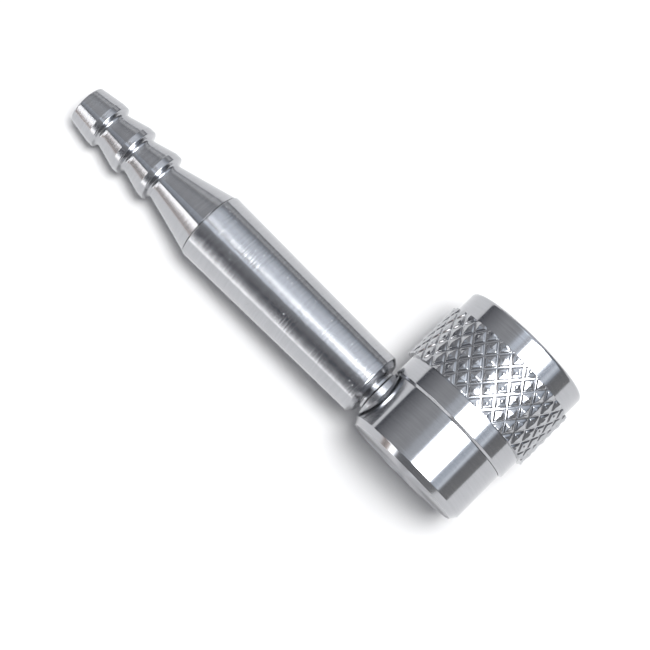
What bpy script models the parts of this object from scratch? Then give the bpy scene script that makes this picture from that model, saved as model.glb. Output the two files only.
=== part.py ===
"""Aquarium carbon dioxide diffuser, turned from stainless steel.

A short round head holds a porous ceramic disc under a knurled screw cap. A stem screws into the head's
side through a small collar and an O-ring. The stem is a tapered barrel with a spring-loaded non-return
valve in it, closed by a pressed-in tail with a hose barb.

The origin is the centre of the head's base face. +Y runs up the head's axis to the diffusing face, the
stem leaves along -X, and +Z is square to both. Sizes below are in millimetres. Heights are measured from
the base face along the head's axis, and stations from the head's axis along the stem.
"""

import math

import bmesh
import bpy
from mathutils import Vector

MM = 0.001

# Clearances
SEAT_GAP = 0.1          # between faces that bear on each other
SLIDE_GAP = 0.1         # radial, round a piece dropped or pressed into a bore
THREAD_GAP = 0.2        # radial, between mating threads

# Head cup
BODY_RADIUS = 7.6
BODY_HEIGHT = 6.85
BASE_CHAMFER_RADIAL = 0.5
BASE_CHAMFER_AXIAL = 0.75
RIM_CHAMFER = 0.2
FLOOR_THICKNESS = 2.0
PLENUM_RADIUS = 4.0
HEAD_STEPS = 52         # facets round the head, two for each start of the cap's knurl
RING_STEPS = 32         # facets round the disc and its rings

# Thread between the head's spigot and the cap
CAP_THREAD_RADIUS = 6.15    # at the root of the spigot's thread
CAP_THREAD_DEPTH = 0.5
CAP_THREAD_PITCH = 1.25
CAP_THREAD_TURNS = 3.5
CAP_THREAD_RELIEF = 1.0     # plain length below the thread

# Ceramic disc and what clamps it
DISC_RADIUS = 5.3
DISC_THICKNESS = 2.0
DISC_PROUD = 0.5            # how far the disc stands above the spigot
DISC_BEVEL = 0.2
GASKET_THICKNESS = 0.8
GASKET_WIDTH = 1.1
SLIP_RING_THICKNESS = 0.4
SLIP_RING_WIDTH = 1.3

# Knurled cap
LOWER_COLLAR_RADIUS = 7.92
LOWER_COLLAR_HEIGHT = 2.65
KNURL_HEIGHT = 6.85
UPPER_COLLAR_RADIUS = 8.05
UPPER_COLLAR_HEIGHT = 2.75
LOWER_EDGE_CHAMFER = 0.3
TOP_EDGE_RADIUS = 0.4
KNURL_DEPTH = 0.42
KNURL_FOOT = 0.04           # groove bottoms stand this far above the upper collar
KNURL_ROWS = 6              # half diamonds along the band
LIP_THICKNESS = 1.1
WINDOW_RADIUS = 4.9
WINDOW_CHAMFER = 0.3

# Boss and neck joint between the head and the stem
STEM_HEIGHT = 4.3
BOSS_RADIUS = 2.4
BOSS_PROUD = 0.03           # past the side of the body
BOSS_FLARE = 0.1
NECK_THREAD_RADIUS = 1.5    # at the root of the neck's thread
NECK_THREAD_DEPTH = 0.4
NECK_THREAD_PITCH = 0.7
NECK_THREAD_TURNS = 3.5
NECK_LENGTH = 3.6           # inside the head, from the boss's end
NECK_BORE_RADIUS = 0.8
NECK_O_RING_THICKNESS = 0.25
NECK_O_RING_RADIUS = 2.35
STEM_STEPS = 28             # facets round the stem

# Stem barrel
NECK_COLLAR_RADIUS = 2.5
NECK_COLLAR_THICKNESS = 0.3
NECK_GROOVE_RADIUS = 2.15
NECK_GROOVE_WIDTH = 0.12
BARREL_LENGTH = 25.35
BARREL_HEAD_RADIUS = 3.88
BARREL_TAIL_RADIUS = 4.27
BARREL_END_CHAMFER = 0.55
BARREL_LIP_CHAMFER = 0.12
CHAMBER_RADIUS = 2.5
CHAMBER_LENGTH = 11.0
SOCKET_RADIUS = 3.05
SOCKET_LENGTH = 6.3

# Hose tail
CONE_LENGTH = 6.7
CONE_START_RADIUS = 4.12
CONE_END_RADIUS = 2.37
BARB_PITCH = 4.1
BARB_ROOT_RADIUS = 2.28
BARB_ROOT_LENGTH = 0.5
BARB_SLOPE_LENGTH = 0.3
BARB_LAND_LENGTH = 0.75
BARB_CREST_RADII = (3.07, 3.07, 2.9)     # from the barrel to the tip
BARB_CREST_ROUND = 0.12
TIP_CONE_LENGTH = 3.0
TIP_RADIUS = 2.42
TIP_ROUND = 0.2
TAIL_BORE_RADIUS = 1.45
TAIL_O_RING_WIDTH = 0.7
TAIL_O_RING_DEPTH = 0.6
TAIL_O_RING_SETBACK = 3.0   # from the barrel's end face to the ring

# Non-return valve
SEAT_RADIUS = 2.1
SEAT_BORE_RADIUS = 1.1
SEAT_THICKNESS = 1.2
POPPET_FLANGE_RADIUS = 2.0
POPPET_FLANGE_THICKNESS = 0.9
POPPET_NOSE_LENGTH = 0.7
POPPET_PIN_RADIUS = 1.0
POPPET_PIN_LENGTH = 2.0
SPRING_COIL_RADIUS = 1.7
SPRING_WIRE_RADIUS = 0.2
SPRING_TURNS = 7
SPRING_POINTS_PER_TURN = 10

# Heights worked out from the sizes above
cap_bottom = BODY_HEIGHT + SEAT_GAP
knurl_bottom = cap_bottom + LOWER_COLLAR_HEIGHT
knurl_top = knurl_bottom + KNURL_HEIGHT
cap_top = knurl_top + UPPER_COLLAR_HEIGHT
lip_underside = cap_top - LIP_THICKNESS
slip_ring_top = lip_underside - SEAT_GAP
slip_ring_bottom = slip_ring_top - SLIP_RING_THICKNESS
upper_gasket_top = slip_ring_bottom - SEAT_GAP
upper_gasket_bottom = upper_gasket_top - GASKET_THICKNESS
disc_top = upper_gasket_bottom - SEAT_GAP
disc_bottom = disc_top - DISC_THICKNESS
lower_gasket_top = disc_bottom - SEAT_GAP
lower_gasket_bottom = lower_gasket_top - GASKET_THICKNESS
ledge_height = lower_gasket_bottom - SEAT_GAP
spigot_top = disc_top - DISC_PROUD
cap_thread_start = cap_bottom + CAP_THREAD_RELIEF
pocket_radius = DISC_RADIUS + SLIDE_GAP
gasket_bore = DISC_RADIUS - GASKET_WIDTH
cap_bore_radius = CAP_THREAD_RADIUS + CAP_THREAD_DEPTH + THREAD_GAP

# Stations worked out from the sizes above
boss_end = BODY_RADIUS + BOSS_PROUD
o_ring_start = boss_end + SEAT_GAP
o_ring_end = o_ring_start + NECK_O_RING_THICKNESS
collar_start = o_ring_end + SEAT_GAP
collar_end = collar_start + NECK_COLLAR_THICKNESS
barrel_start = collar_end + NECK_GROOVE_WIDTH
barrel_end = barrel_start + BARREL_LENGTH
neck_start = boss_end - NECK_LENGTH
socket_start = barrel_end - SOCKET_LENGTH
chamber_start = socket_start - CHAMBER_LENGTH
tail_start = socket_start + SEAT_GAP
cone_start = barrel_end + SEAT_GAP
cone_end = cone_start + CONE_LENGTH
seat_start = tail_start
seat_end = seat_start + SEAT_THICKNESS
flange_end = seat_start - SEAT_GAP
poppet_nose = flange_end + POPPET_NOSE_LENGTH
flange_start = flange_end - POPPET_FLANGE_THICKNESS
pin_start = flange_start - POPPET_PIN_LENGTH
neck_thread_start = neck_start + NECK_THREAD_PITCH / 2
port_bore_radius = NECK_THREAD_RADIUS + NECK_THREAD_DEPTH + THREAD_GAP
neck_undercut_radius = NECK_THREAD_RADIUS

ROWS_PER_PITCH = 4      # rings of points in one pitch of a thread


def new_collection(name):
    """Adds an empty collection to the scene."""
    collection = bpy.data.collections.new(name)
    bpy.context.scene.collection.children.link(collection)
    return collection


def new_material(name, colour, roughness, metallic):
    """Makes a plain Principled material."""
    material = bpy.data.materials.new(name)
    material.use_nodes = True
    shader = material.node_tree.nodes["Principled BSDF"]
    shader.inputs["Base Color"].default_value = (*colour, 1.0)
    shader.inputs["Roughness"].default_value = roughness
    shader.inputs["Metallic"].default_value = metallic
    return material


def new_axis(name, location, rotation):
    """Adds an empty whose +Z is the axis that pieces are turned about."""
    axis = bpy.data.objects.new(name, None)
    axis.location = Vector(location) * MM
    axis.rotation_euler = rotation
    bpy.context.scene.collection.objects.link(axis)
    return axis


def place(piece, axis, material, collection):
    """Puts a piece on its axis with its material and smooth shading."""
    piece.parent = axis
    piece.data.materials.append(material)
    collection.objects.link(piece)
    if piece.type == "MESH":
        piece.data.shade_smooth()
        piece.data.set_sharp_from_angle(angle=math.radians(30))
    return piece


def turned(name, profile, steps, closed):
    """Turns a profile of (radius, height) points, listed down the outer side, about Z."""
    points = [(radius * MM, 0.0, height * MM) for radius, height in profile]
    edges = [(i, i + 1) for i in range(len(points) - 1)]
    if closed:
        edges.append((len(points) - 1, 0))
    mesh = bpy.data.meshes.new(name)
    mesh.from_pydata(points, edges, [])
    piece = bpy.data.objects.new(name, mesh)
    screw = piece.modifiers.new("Turn", "SCREW")
    screw.axis = "Z"
    screw.angle = 2 * math.pi
    screw.steps = steps
    screw.render_steps = steps
    screw.use_merge_vertices = True
    screw.merge_threshold = 1e-7
    screw.use_normal_calculate = False
    return piece


def as_mesh(piece):
    """Gives a copy of a turned piece with its modifiers made into plain geometry."""
    scene_objects = bpy.context.scene.collection.objects
    scene_objects.link(piece)
    evaluated = piece.evaluated_get(bpy.context.evaluated_depsgraph_get())
    mesh = bpy.data.meshes.new_from_object(evaluated)
    name = piece.name
    scene_objects.unlink(piece)
    bpy.data.objects.remove(piece)
    mesh.name = name
    return bpy.data.objects.new(name, mesh)


def solid(name, profile, steps):
    """Turns a profile that starts and ends on the axis, as a plain mesh with its poles joined."""
    piece = as_mesh(turned(name, profile, steps, closed=False))
    work = bmesh.new()
    work.from_mesh(piece.data)
    bmesh.ops.remove_doubles(work, verts=work.verts, dist=1e-7)
    bmesh.ops.dissolve_degenerate(work, edges=work.edges, dist=1e-8)
    work.to_mesh(piece.data)
    work.free()
    return piece


def reshape(piece, new_radius):
    """Moves each point of a turned mesh to new_radius(radius, angle, height), all in millimetres."""
    for vertex in piece.data.vertices:
        x, y, z = vertex.co / MM
        radius = math.hypot(x, y)
        wanted = new_radius(radius, math.atan2(y, x), z)
        if wanted is not None:
            vertex.co.x *= wanted / radius
            vertex.co.y *= wanted / radius


def thread_rows(start, turns, pitch):
    """Heights of the rings of points that carry a thread, from its low end to its high end."""
    count = round(turns * ROWS_PER_PITCH)
    return [start + i * pitch / ROWS_PER_PITCH for i in range(count + 1)]


def tooth(angle, height, start, turns, pitch):
    """Share of the thread's depth at a point of a right-hand helix: 1 on the crest, with faded ends."""
    turn = (height - start) / pitch
    wave = 0.5 + 0.5 * math.cos(2 * math.pi * (turn - angle / (2 * math.pi)))
    fade = min(1.0, 2 * turn, 2 * (turns - turn))
    return wave, max(0.0, fade)


def male_thread(root, depth, start, turns, pitch, band_radius):
    """A reshape function that raises a right-hand thread on the rings of points at band_radius."""
    def new_radius(radius, angle, height):
        if abs(radius - band_radius) > 0.01 or not start - 0.01 < height < start + turns * pitch + 0.01:
            return None
        wave, fade = tooth(angle, height, start, turns, pitch)
        return root + depth * wave * fade
    return new_radius


def female_thread(root, depth, start, turns, pitch, band_radius):
    """A reshape function that draws a bore at band_radius inward to a right-hand thread."""
    def new_radius(radius, angle, height):
        if abs(radius - band_radius) > 0.01 or not start - 0.01 < height < start + turns * pitch + 0.01:
            return None
        wave, fade = tooth(angle, height, start, turns, pitch)
        return root + THREAD_GAP + depth * (1 - fade * (1 - wave))
    return new_radius


def arc(centre_radius, centre_height, radius, start_deg, end_deg, count):
    """Points of a round edge in a profile, from one direction to another in degrees."""
    angles = [math.radians(start_deg + (end_deg - start_deg) * i / count) for i in range(count + 1)]
    return [(centre_radius + radius * math.cos(a), centre_height + radius * math.sin(a)) for a in angles]


def boolean(piece, cutter, operation):
    """Joins or cuts a piece with another."""
    modifier = piece.modifiers.new(operation.title(), "BOOLEAN")
    modifier.operation = operation
    modifier.object = cutter
    modifier.solver = "EXACT"


def as_cutter(piece, axis, collection):
    """Puts a cutter on its axis, out of renders."""
    piece.parent = axis
    piece.hide_render = True
    piece.display_type = "WIRE"
    collection.objects.link(piece)
    return piece


def ring_profile(inner, outer, bottom, top):
    """Closed profile of a flat ring, down its outer side first."""
    return [(outer, top), (outer, bottom), (inner, bottom), (inner, top)]


def make_head_cup(head_axis, stem_axis, material, parts, cutters):
    """Cup with a screwed spigot, a gas plenum, a ledge for the disc, and a side boss with the port."""
    rows = thread_rows(cap_thread_start, CAP_THREAD_TURNS, CAP_THREAD_PITCH)
    profile = [(pocket_radius, spigot_top), (CAP_THREAD_RADIUS, spigot_top)]
    profile += [(CAP_THREAD_RADIUS, height) for height in reversed(rows)]
    profile += [
        (CAP_THREAD_RADIUS, BODY_HEIGHT),
        (BODY_RADIUS - RIM_CHAMFER, BODY_HEIGHT),
        (BODY_RADIUS, BODY_HEIGHT - RIM_CHAMFER),
        (BODY_RADIUS, BASE_CHAMFER_AXIAL),
        (BODY_RADIUS - BASE_CHAMFER_RADIAL, 0.0),
        (0.0, 0.0),
    ]
    inside = [(0.0, FLOOR_THICKNESS), (PLENUM_RADIUS, FLOOR_THICKNESS)]
    inside += [(PLENUM_RADIUS, ledge_height), (pocket_radius, ledge_height)]
    cup = solid("head_cup", inside + profile, HEAD_STEPS)
    reshape(cup, male_thread(CAP_THREAD_RADIUS, CAP_THREAD_DEPTH, cap_thread_start, CAP_THREAD_TURNS,
                             CAP_THREAD_PITCH, CAP_THREAD_RADIUS))

    root = boss_end - NECK_LENGTH / 2
    flare_end = math.sqrt(BODY_RADIUS ** 2 - BOSS_RADIUS ** 2)
    boss_profile = [
        (0.0, boss_end),
        (BOSS_RADIUS, boss_end),
        (BOSS_RADIUS, flare_end + BOSS_FLARE),
        (BOSS_RADIUS + BOSS_FLARE, flare_end - BOSS_FLARE),
        (BOSS_RADIUS + BOSS_FLARE, root),
        (0.0, root),
    ]
    boss = as_cutter(solid("boss_blank", boss_profile, STEM_STEPS), stem_axis, cutters)

    thread_end = boss_end - NECK_THREAD_PITCH / 2
    turns = (thread_end - neck_thread_start) / NECK_THREAD_PITCH
    rows = thread_rows(neck_thread_start, math.floor(turns * ROWS_PER_PITCH) / ROWS_PER_PITCH,
                       NECK_THREAD_PITCH)
    port_profile = [(0.0, boss_end + SEAT_GAP), (port_bore_radius, boss_end + SEAT_GAP)]
    port_profile += [(port_bore_radius, height) for height in reversed(rows)]
    port_profile += [(port_bore_radius, PLENUM_RADIUS / 2), (0.0, PLENUM_RADIUS / 2)]
    port = solid("port_cutter", port_profile, STEM_STEPS)
    reshape(port, female_thread(NECK_THREAD_RADIUS, NECK_THREAD_DEPTH, rows[0],
                                (len(rows) - 1) / ROWS_PER_PITCH, NECK_THREAD_PITCH, port_bore_radius))
    as_cutter(port, stem_axis, cutters)

    boolean(cup, boss, "UNION")
    boolean(cup, port, "DIFFERENCE")
    return place(cup, head_axis, material, parts)


def make_knurled_cap(axis, material, parts):
    """Screw cap: two plain collars, a band of diamond knurling, a window lip and an inside thread."""
    groove_radius = UPPER_COLLAR_RADIUS + KNURL_FOOT
    knurl_rows = [knurl_top - i * KNURL_HEIGHT / KNURL_ROWS for i in range(KNURL_ROWS + 1)]
    thread_turns = CAP_THREAD_TURNS
    inner_rows = thread_rows(cap_thread_start, thread_turns, CAP_THREAD_PITCH)
    profile = [(WINDOW_RADIUS + WINDOW_CHAMFER, cap_top)]
    profile += arc(UPPER_COLLAR_RADIUS - TOP_EDGE_RADIUS, cap_top - TOP_EDGE_RADIUS, TOP_EDGE_RADIUS, 90, 0, 3)
    profile += [(UPPER_COLLAR_RADIUS, knurl_top)]
    profile += [(groove_radius, height) for height in knurl_rows]
    profile += [
        (LOWER_COLLAR_RADIUS, knurl_bottom),
        (LOWER_COLLAR_RADIUS, cap_bottom + LOWER_EDGE_CHAMFER),
        (LOWER_COLLAR_RADIUS - LOWER_EDGE_CHAMFER, cap_bottom),
        (cap_bore_radius, cap_bottom),
    ]
    profile += [(cap_bore_radius, height) for height in inner_rows]
    profile += [
        (cap_bore_radius, lip_underside),
        (WINDOW_RADIUS, lip_underside),
        (WINDOW_RADIUS, cap_top - WINDOW_CHAMFER),
    ]
    cap = as_mesh(turned("knurled_cap", profile, HEAD_STEPS, closed=True))
    reshape(cap, female_thread(CAP_THREAD_RADIUS, CAP_THREAD_DEPTH, cap_thread_start, thread_turns,
                               CAP_THREAD_PITCH, cap_bore_radius))

    def knurl(radius, angle, height):
        """Raises every other point of the band to a diamond's peak."""
        if abs(radius - groove_radius) > 0.01:
            return None
        column = round(angle / (2 * math.pi) * HEAD_STEPS)
        row = round((knurl_top - height) / KNURL_HEIGHT * KNURL_ROWS)
        return groove_radius + (KNURL_DEPTH if (column + row) % 2 else 0.0)

    reshape(cap, knurl)
    split_along_grooves(cap, groove_radius)
    return place(cap, axis, material, parts)


def split_along_grooves(cap, groove_radius):
    """Splits each face of the knurl on the diagonal that lies in a groove, so that peaks stay peaks."""
    work = bmesh.new()
    work.from_mesh(cap.data)
    low = (groove_radius + 0.01) * MM
    foot = (groove_radius - 0.01) * MM
    for face in list(work.faces):
        bottoms = [v for v in face.verts if foot < math.hypot(v.co.x, v.co.y) < low]
        heights = [v.co.z for v in face.verts]
        if len(face.verts) == 4 and len(bottoms) == 2 and max(heights) - min(heights) > 0.1 * MM:
            bmesh.ops.connect_verts(work, verts=bottoms)
    work.to_mesh(cap.data)
    work.free()


def make_stem_barrel(axis, material, parts):
    """Tapered barrel with the screwed neck and collar at the head's end and the valve chamber inside."""
    rows = thread_rows(neck_thread_start, NECK_THREAD_TURNS, NECK_THREAD_PITCH)
    chamfer_end = barrel_start + BARREL_END_CHAMFER
    profile = [
        (SOCKET_RADIUS, barrel_end),
        (BARREL_TAIL_RADIUS - BARREL_LIP_CHAMFER, barrel_end),
        (BARREL_TAIL_RADIUS, barrel_end - BARREL_LIP_CHAMFER),
        (BARREL_HEAD_RADIUS, chamfer_end),
        (BARREL_HEAD_RADIUS - BARREL_END_CHAMFER, barrel_start),
        (NECK_GROOVE_RADIUS, barrel_start),
        (NECK_GROOVE_RADIUS, collar_end),
        (NECK_COLLAR_RADIUS, collar_end),
        (NECK_COLLAR_RADIUS, collar_start),
        (neck_undercut_radius, collar_start),
    ]
    profile += [(NECK_THREAD_RADIUS, height) for height in reversed(rows)]
    profile += [
        (NECK_THREAD_RADIUS, neck_start),
        (NECK_BORE_RADIUS, neck_start),
        (NECK_BORE_RADIUS, chamber_start),
        (CHAMBER_RADIUS, chamber_start),
        (CHAMBER_RADIUS, socket_start),
        (SOCKET_RADIUS, socket_start),
    ]
    barrel = as_mesh(turned("stem_barrel", profile, STEM_STEPS, closed=True))
    reshape(barrel, male_thread(NECK_THREAD_RADIUS, NECK_THREAD_DEPTH, neck_thread_start, NECK_THREAD_TURNS,
                                NECK_THREAD_PITCH, NECK_THREAD_RADIUS))
    return place(barrel, axis, material, parts)


def barb_points():
    """Profile of the hose barb from the tip to the end of the long cone, with its lands and roots."""
    points = []
    for index, crest in enumerate(BARB_CREST_RADII):
        root = cone_end + index * BARB_PITCH
        land = root + BARB_ROOT_LENGTH + BARB_SLOPE_LENGTH
        land_end = land + BARB_LAND_LENGTH
        points += [
            (BARB_ROOT_RADIUS, root + BARB_ROOT_LENGTH / 2),
            (BARB_ROOT_RADIUS + BARB_CREST_ROUND, root + BARB_ROOT_LENGTH),
            (crest - BARB_CREST_ROUND, land - BARB_CREST_ROUND),
            (crest, land + BARB_CREST_ROUND),
            (crest, land_end - BARB_CREST_ROUND),
            (crest - BARB_CREST_ROUND / 2, land_end + BARB_CREST_ROUND),
        ]
        if index < len(BARB_CREST_RADII) - 1:
            points.append((CONE_END_RADIUS, root + BARB_PITCH))
    tip = land_end + TIP_CONE_LENGTH
    points += [(TIP_RADIUS, tip - TIP_ROUND), (TIP_RADIUS - TIP_ROUND, tip)]
    return list(reversed(points)), tip


def make_barb_tail(axis, material, parts):
    """Hose tail: a spigot pressed into the barrel, a long cone and three barbs, bored through."""
    barbs, tip = barb_points()
    ring_end = barrel_end - TAIL_O_RING_SETBACK + TAIL_O_RING_WIDTH + SEAT_GAP
    ring_start = barrel_end - TAIL_O_RING_SETBACK - SEAT_GAP
    spigot = SOCKET_RADIUS - SLIDE_GAP
    groove = spigot - TAIL_O_RING_DEPTH - SLIDE_GAP
    profile = [(TAIL_BORE_RADIUS, tip)] + barbs
    profile += [
        (CONE_END_RADIUS, cone_end),
        (CONE_START_RADIUS, cone_start),
        (spigot, cone_start),
        (spigot, ring_end),
        (groove, ring_end),
        (groove, ring_start),
        (spigot, ring_start),
        (spigot, tail_start),
        (SEAT_RADIUS + SLIDE_GAP, tail_start),
        (SEAT_RADIUS + SLIDE_GAP, seat_end + SEAT_GAP),
        (TAIL_BORE_RADIUS, seat_end + SEAT_GAP),
    ]
    return place(turned("barb_tail", profile, STEM_STEPS, closed=True), axis, material, parts)


def make_valve(axis, steel, rubber, plastic, parts):
    """Non-return valve: a rubber seat in the tail, a poppet on it, and a spring behind the poppet."""
    place(turned("valve_seat", ring_profile(SEAT_BORE_RADIUS, SEAT_RADIUS, seat_start, seat_end),
                 STEM_STEPS, closed=True), axis, rubber, parts)

    nose_radius = SEAT_BORE_RADIUS - SLIDE_GAP
    profile = [
        (0.0, poppet_nose),
        (nose_radius / 2, poppet_nose),
        (nose_radius, flange_end),
        (POPPET_FLANGE_RADIUS, flange_end),
        (POPPET_FLANGE_RADIUS, flange_start),
        (POPPET_PIN_RADIUS, flange_start),
        (POPPET_PIN_RADIUS, pin_start),
        (0.0, pin_start),
    ]
    place(solid("valve_poppet", profile, STEM_STEPS), axis, plastic, parts)

    low = chamber_start + SPRING_WIRE_RADIUS + SEAT_GAP
    high = flange_start - SPRING_WIRE_RADIUS - SEAT_GAP
    count = SPRING_TURNS * SPRING_POINTS_PER_TURN
    points = []
    for i in range(count + 1):
        angle = 2 * math.pi * i / SPRING_POINTS_PER_TURN
        height = low + (high - low) * i / count
        points.append((SPRING_COIL_RADIUS * math.cos(angle), SPRING_COIL_RADIUS * math.sin(angle), height))
    print("valve_spring least gap to itself, mm:", round(least_gap(points), 3))
    curve = bpy.data.curves.new("valve_spring", "CURVE")
    curve.dimensions = "3D"
    curve.bevel_depth = SPRING_WIRE_RADIUS * MM
    curve.bevel_resolution = 1
    curve.use_fill_caps = True
    spline = curve.splines.new("POLY")
    spline.points.add(len(points) - 1)
    for point, place_mm in zip(spline.points, points):
        point.co = (*(Vector(place_mm) * MM), 1.0)
    place(bpy.data.objects.new("valve_spring", curve), axis, steel, parts)


def least_gap(points):
    """Smallest clear distance between coils of the spring, in millimetres."""
    apart = SPRING_POINTS_PER_TURN // 2
    distances = [
        (Vector(a) - Vector(b)).length
        for i, a in enumerate(points)
        for b in points[i + apart:]
    ]
    return min(distances) - 2 * SPRING_WIRE_RADIUS


def make_seals(head_axis, stem_axis, rubber, plastic, parts):
    """Gaskets round the disc, the slip ring under the cap's lip, and the stem's two O-rings."""
    place(turned("lower_gasket", ring_profile(gasket_bore, DISC_RADIUS, lower_gasket_bottom,
                                              lower_gasket_top), RING_STEPS, closed=True),
          head_axis, rubber, parts)
    place(turned("upper_gasket", ring_profile(gasket_bore, DISC_RADIUS, upper_gasket_bottom,
                                              upper_gasket_top), RING_STEPS, closed=True),
          head_axis, rubber, parts)
    slip_outer = DISC_RADIUS + SLIDE_GAP
    place(turned("slip_ring", ring_profile(slip_outer - SLIP_RING_WIDTH, slip_outer, slip_ring_bottom,
                                           slip_ring_top), RING_STEPS, closed=True),
          head_axis, plastic, parts)
    place(turned("neck_o_ring", ring_profile(neck_undercut_radius + SLIDE_GAP, NECK_O_RING_RADIUS,
                                             o_ring_start, o_ring_end), STEM_STEPS, closed=True),
          stem_axis, rubber, parts)
    ring_start = barrel_end - TAIL_O_RING_SETBACK
    ring_outer = SOCKET_RADIUS - SLIDE_GAP
    place(turned("tail_o_ring", ring_profile(ring_outer - TAIL_O_RING_DEPTH, ring_outer, ring_start,
                                             ring_start + TAIL_O_RING_WIDTH), STEM_STEPS, closed=True),
          stem_axis, rubber, parts)


def make_disc(axis, material, parts):
    """Porous ceramic disc with softened edges."""
    profile = [
        (0.0, disc_top),
        (DISC_RADIUS - DISC_BEVEL, disc_top),
        (DISC_RADIUS, disc_top - DISC_BEVEL),
        (DISC_RADIUS, disc_bottom + DISC_BEVEL),
        (DISC_RADIUS - DISC_BEVEL, disc_bottom),
        (0.0, disc_bottom),
    ]
    place(solid("ceramic_disc", profile, RING_STEPS), axis, material, parts)


def main():
    """Clears the scene and makes every piece."""
    for old in list(bpy.data.objects):
        bpy.data.objects.remove(old)
    parts = new_collection("carbon_dioxide_diffuser")
    cutters = new_collection("cutters")
    steel = new_material("stainless_steel", (0.63, 0.64, 0.66), 0.25, 1.0)
    spring_steel = new_material("spring_steel", (0.5, 0.5, 0.52), 0.3, 1.0)
    rubber = new_material("black_rubber", (0.02, 0.02, 0.022), 0.6, 0.0)
    plastic = new_material("white_slip_plastic", (0.75, 0.75, 0.72), 0.5, 0.0)
    ceramic = new_material("porous_ceramic", (0.82, 0.8, 0.76), 0.8, 0.0)
    head_axis = new_axis("head_axis", (0, 0, 0), (-math.pi / 2, 0, 0))
    stem_axis = new_axis("stem_axis", (0, STEM_HEIGHT, 0), (0, -math.pi / 2, 0))
    make_head_cup(head_axis, stem_axis, steel, parts, cutters)
    make_disc(head_axis, ceramic, parts)
    make_seals(head_axis, stem_axis, rubber, plastic, parts)
    make_knurled_cap(head_axis, steel, parts)
    make_stem_barrel(stem_axis, steel, parts)
    make_barb_tail(stem_axis, steel, parts)
    make_valve(stem_axis, spring_steel, rubber, plastic, parts)


main()
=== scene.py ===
import math

import bmesh
import bpy
from mathutils import Matrix, Vector


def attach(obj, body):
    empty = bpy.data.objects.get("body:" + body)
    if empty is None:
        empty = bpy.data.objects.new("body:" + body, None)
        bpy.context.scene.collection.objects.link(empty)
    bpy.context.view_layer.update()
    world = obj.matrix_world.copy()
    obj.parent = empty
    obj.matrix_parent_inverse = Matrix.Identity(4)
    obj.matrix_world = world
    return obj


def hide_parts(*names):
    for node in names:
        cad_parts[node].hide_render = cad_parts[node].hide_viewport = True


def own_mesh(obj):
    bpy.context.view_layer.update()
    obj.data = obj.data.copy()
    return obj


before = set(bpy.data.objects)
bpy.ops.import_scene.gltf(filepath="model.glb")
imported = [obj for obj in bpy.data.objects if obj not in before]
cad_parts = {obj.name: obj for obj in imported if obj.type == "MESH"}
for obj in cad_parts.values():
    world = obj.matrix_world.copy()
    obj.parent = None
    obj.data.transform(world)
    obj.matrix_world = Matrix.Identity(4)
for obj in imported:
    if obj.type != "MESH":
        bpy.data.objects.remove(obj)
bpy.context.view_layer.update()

# Viewpoint: the photograph looks almost straight down on the diffuser as it lies on a white table,
# a little from the base's side, through a long lens. Its place was fitted to the object's outlines.
MM = 0.001
PHOTO_SIDE_PX = 650
FOCAL_LENGTH_PX = 2200
SENSOR_WIDTH_MM = 36
NEAREST_VIEW_M = 0.01
camera_place = Vector((17.7, -17.8, 234.7)) * MM
look_along = Vector((-0.1461, 0.0974, -0.9845)).normalized()
picture_down = Vector((0.6944, -0.6987, -0.1722)).normalized()
picture_right = picture_down.cross(look_along).normalized()
camera = bpy.data.objects.new("camera", bpy.data.cameras.new("camera"))
camera.data.sensor_width = SENSOR_WIDTH_MM
camera.data.lens = SENSOR_WIDTH_MM * FOCAL_LENGTH_PX / PHOTO_SIDE_PX
camera.data.clip_start = NEAREST_VIEW_M
turn = Matrix((picture_right, -picture_down, -look_along)).transposed()
camera.matrix_world = Matrix.Translation(camera_place) @ turn.to_4x4()
bpy.context.scene.collection.objects.link(camera)
bpy.context.scene.camera = camera
bpy.context.scene.view_settings.view_transform = "Standard"


# Studio light: a large softbox to the right of the lens, a dim bluish wall behind it with a brighter patch
# and edge, two faint hazes at the left, a tall strip far left with a warm corner beyond it, and a far card.
# These show in reflections only. A key lights matt surfaces, and the room is grey with a darker part.
def linear(hex_colour):
    """Turns an sRGB hex colour into the linear values that shaders take."""
    shares = [int(hex_colour[i:i + 2], 16) / 255 for i in (1, 3, 5)]
    return (*(s / 12.92 if s <= 0.04045 else ((s + 0.055) / 1.055) ** 2.4 for s in shares), 1.0)


def add_node(tree, kind, settings=None, **links):
    """Adds a shader node with its settings, its socket values and its links."""
    node = tree.nodes.new(kind)
    for name, value in (settings or {}).items():
        if isinstance(name, int) or name in node.inputs:
            node.inputs[name].default_value = value
        else:
            setattr(node, name, value)
    for name, source in links.items():
        tree.links.new(source, node.inputs[name.replace("_", " ")])
    return node


def set_ramp(ramp, stops):
    """Sets a colour ramp's stops from (place, colour) pairs."""
    elements = ramp.color_ramp.elements
    while len(elements) > 1:
        elements.remove(elements[-1])
    for index, (place, colour) in enumerate(stops):
        element = elements[0] if index == 0 else elements.new(place)
        element.position = place
        element.color = linear(colour)


def way_to(right_deg, down_deg):
    """Direction from the object that lies so many degrees right of and below the way to the lens."""
    angle = math.radians(math.hypot(right_deg, down_deg))
    flat = (picture_right * right_deg + picture_down * down_deg).normalized()
    return flat * math.sin(angle) - look_along * math.cos(angle)


PLAIN = [(0.0, "#ffffff"), (1.0, "#ffffff")]


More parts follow.
